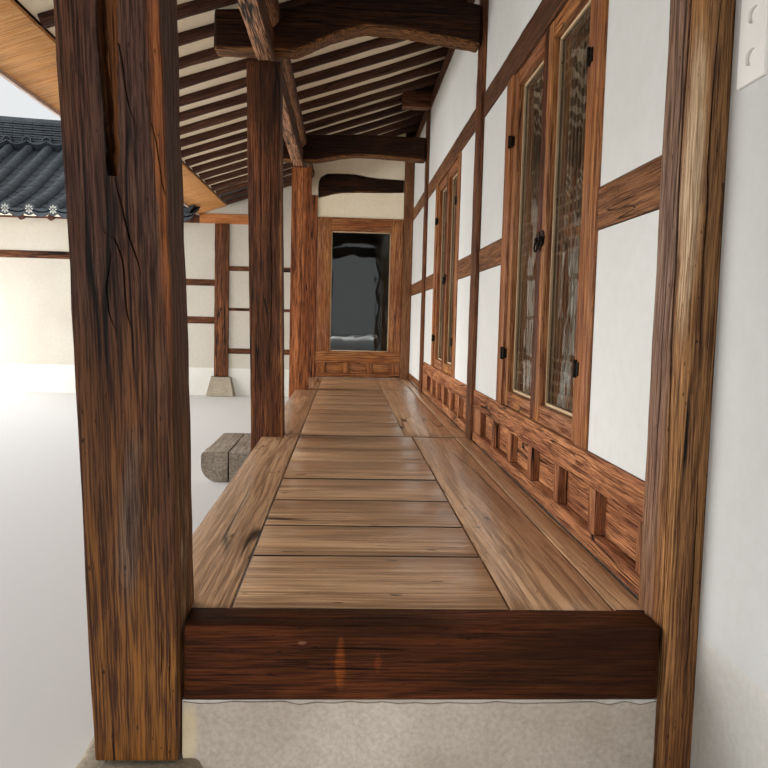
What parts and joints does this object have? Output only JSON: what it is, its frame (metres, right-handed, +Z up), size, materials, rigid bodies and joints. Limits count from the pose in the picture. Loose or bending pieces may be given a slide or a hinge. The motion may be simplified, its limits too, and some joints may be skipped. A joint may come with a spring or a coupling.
{
  "type": "hanok house",
  "caption": "L-shaped hanok with a tiled gable roof, round rafters, an open timber veranda, glazed casements over panelled dados, plaster walls and a lower wing.",
  "frame": {"origin": "on the ground under the middle of the outline of the roofs", "axes": "+X along the main house towards its open near end, -Y towards the courtyard, +Z up"},
  "size_m": [17.23, 11.462, 5.2596],
  "materials": {
    "dark_timber": "old dark brown oiled pine, deeply checked, satin",
    "warm_timber": "red-brown stained pine with open grain, satin",
    "floor_timber": "grey-brown floorboards with a worn satin varnish",
    "pale_timber": "new pale pine boards, clear satin",
    "grey_timber": "weathered grey timber, matte",
    "plaster": "smooth white lime plaster, matte",
    "render": "rough cream lime render, matte",
    "stone": "dressed granite, rough",
    "tile": "blue-black fired clay roof tiles, matte",
    "glass": "clear window glass"
  },
  "bodies": {
    "root": {"post_e": "dark_timber", "post_a": "dark_timber", "post_b": "dark_timber", "post_c": "dark_timber", "post_d": "dark_timber", "wall_post_e": "dark_timber", "wall_post_a": "dark_timber", "wall_post_b": "dark_timber", "wall_post_c": "dark_timber", "back_post_near": "dark_timber", "back_post_far": "dark_timber", "wing_post_1": "dark_timber", "wing_post_2": "dark_timber", "wing_post_3": "dark_timber", "beam_e": "dark_timber", "beam_a": "dark_timber", "beam_b": "dark_timber", "beam_c": "dark_timber", "bent_beam": "dark_timber", "front_rafters": "dark_timber", "back_rafters": "dark_timber", "wing_rafters_court": "dark_timber", "wing_rafters_back": "dark_timber", "timber_frame_3": "dark_timber", "timber_frame_1": "warm_timber", "timber_frame_2": "warm_timber", "window_leaf_1_near": "warm_timber", "window_leaf_1_far": "warm_timber", "window_leaf_2_near": "warm_timber", "window_leaf_2_far": "warm_timber", "far_glazed_frame": "warm_timber", "end_sill_beam": "warm_timber", "veranda_floor": "floor_timber", "eave_soffit": "pale_timber", "timber_step": "grey_timber", "near_bay_wall": "plaster", "bay_wall_1": "plaster", "bay_wall_2": "plaster", "bay_wall_3": "plaster", "far_wall": "plaster", "side_wall": "plaster", "near_end_wall": "plaster", "back_wall": "plaster", "far_end_wall": "plaster", "wing_court_wall": "plaster", "wing_end_wall": "plaster", "foundation": "render", "stone_e": "stone", "stone_a": "stone", "stone_b": "stone", "stone_c": "stone", "wing_stone": "stone", "main_roof": "tile", "wing_roof": "tile", "window_glass_1": "glass", "window_glass_2": "glass", "far_glass": "glass"}
  },
  "joints": []
}
